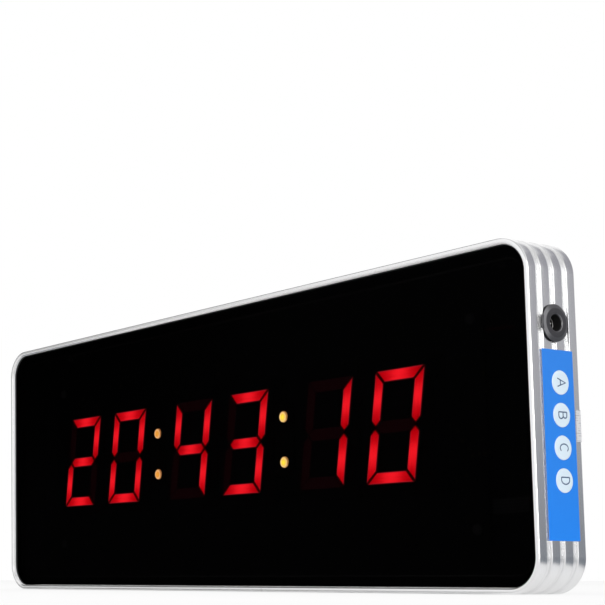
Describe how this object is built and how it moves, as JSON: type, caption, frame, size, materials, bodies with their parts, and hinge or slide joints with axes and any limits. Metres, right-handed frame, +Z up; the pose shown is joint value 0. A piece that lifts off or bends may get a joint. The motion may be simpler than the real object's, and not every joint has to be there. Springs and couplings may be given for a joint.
{
  "type": "led wall timer clock",
  "caption": "Slim LED wall clock and round timer: aluminium frame, smoked front, seven-segment digits, end buttons and power socket.",
  "frame": {"origin": "centre of the rear face that lies against the wall", "axes": "+Z up, -Y towards the viewer, +Y towards the wall, +X towards the end with the buttons and the power socket"},
  "size_m": [0.3614, 0.026, 0.134],
  "materials": {
    "aluminium": "satin anodised extrusion with fine drawn grain",
    "smoked_acrylic": "glossy smoked acrylic",
    "black_foam": "matt foam tape",
    "black_abs": "fine spark-textured moulding",
    "zinc_steel": "zinc plated",
    "black_board": "black solder mask",
    "digit_black": "matt black front",
    "red_segment": "diffuse red epoxy, lit",
    "amber_lens": "amber epoxy lens, lit",
    "chip_black": "moulded epoxy",
    "nickel": "nickel plated",
    "can_aluminium": "drawn can",
    "jack_grey": "moulded, slightly satin",
    "wire_red": "PVC insulation",
    "wire_black": "PVC insulation",
    "blue_film": "printed film",
    "button_white": null,
    "switch_black": "moulded",
    "ribbon_grey": "ribbed flat cable",
    "seal_paper": "coated paper"
  },
  "bodies": {
    "case": {"frame": "aluminium", "frame_joint_plate": "aluminium", "front_panel": "smoked_acrylic", "panel_gasket": "black_foam", "back_cover": "black_abs", "back_cover_screw_1": "zinc_steel", "back_cover_screw_2": "zinc_steel", "back_cover_screw_3": "zinc_steel", "back_cover_screw_4": "zinc_steel", "main_pcb": "black_board", "pcb_screw_1": "zinc_steel", "pcb_screw_2": "zinc_steel", "pcb_screw_3": "zinc_steel", "pcb_screw_4": "zinc_steel", "digit_housing_1": "digit_black", "digit_housing_2": "digit_black", "digit_housing_3": "digit_black", "digit_housing_4": "digit_black", "digit_housing_5": "digit_black", "digit_housing_6": "digit_black", "digit_diffuser_1": "red_segment", "digit_diffuser_2": "red_segment", "digit_diffuser_3": "red_segment", "digit_diffuser_4": "red_segment", "digit_diffuser_5": "red_segment", "digit_diffuser_6": "red_segment", "colon_led_1": "amber_lens", "colon_led_2": "amber_lens", "colon_led_3": "amber_lens", "colon_led_4": "amber_lens", "colon_spacer_left": "digit_black", "colon_spacer_right": "digit_black", "microcontroller": "chip_black", "led_driver": "chip_black", "clock_crystal": "can_aluminium", "coin_cell_holder": "black_abs", "coin_cell": "nickel", "buzzer": "chip_black", "filter_capacitor": "can_aluminium", "dc_jack_body": "jack_grey", "dc_jack_pin": "nickel", "dc_jack_nut": "zinc_steel", "power_lead_red": "wire_red", "power_lead_black": "wire_black", "side_label": "blue_film", "button_pcb": "black_board", "switch_body_a": "switch_black", "switch_body_b": "switch_black", "switch_body_c": "switch_black", "switch_body_d": "switch_black", "button_ribbon": "ribbon_grey", "seal_sticker": "seal_paper"},
    "button_a": {"button_cap_a": "button_white", "switch_plunger_a": "switch_black"},
    "button_b": {"button_cap_b": "button_white", "switch_plunger_b": "switch_black"},
    "button_c": {"button_cap_c": "button_white", "switch_plunger_c": "switch_black"},
    "button_d": {"button_cap_d": "button_white", "switch_plunger_d": "switch_black"}
  },
  "joints": [
    {"name": "button_a_press", "type": "slide", "parent": "case", "child": "button_a", "axis": [-1, 0, 0], "range_m": [0, 0.0003]},
    {"name": "button_b_press", "type": "slide", "parent": "case", "child": "button_b", "axis": [-1, 0, 0], "range_m": [0, 0.0003]},
    {"name": "button_c_press", "type": "slide", "parent": "case", "child": "button_c", "axis": [-1, 0, 0], "range_m": [0, 0.0003]},
    {"name": "button_d_press", "type": "slide", "parent": "case", "child": "button_d", "axis": [-1, 0, 0], "range_m": [0, 0.0003]}
  ]
}
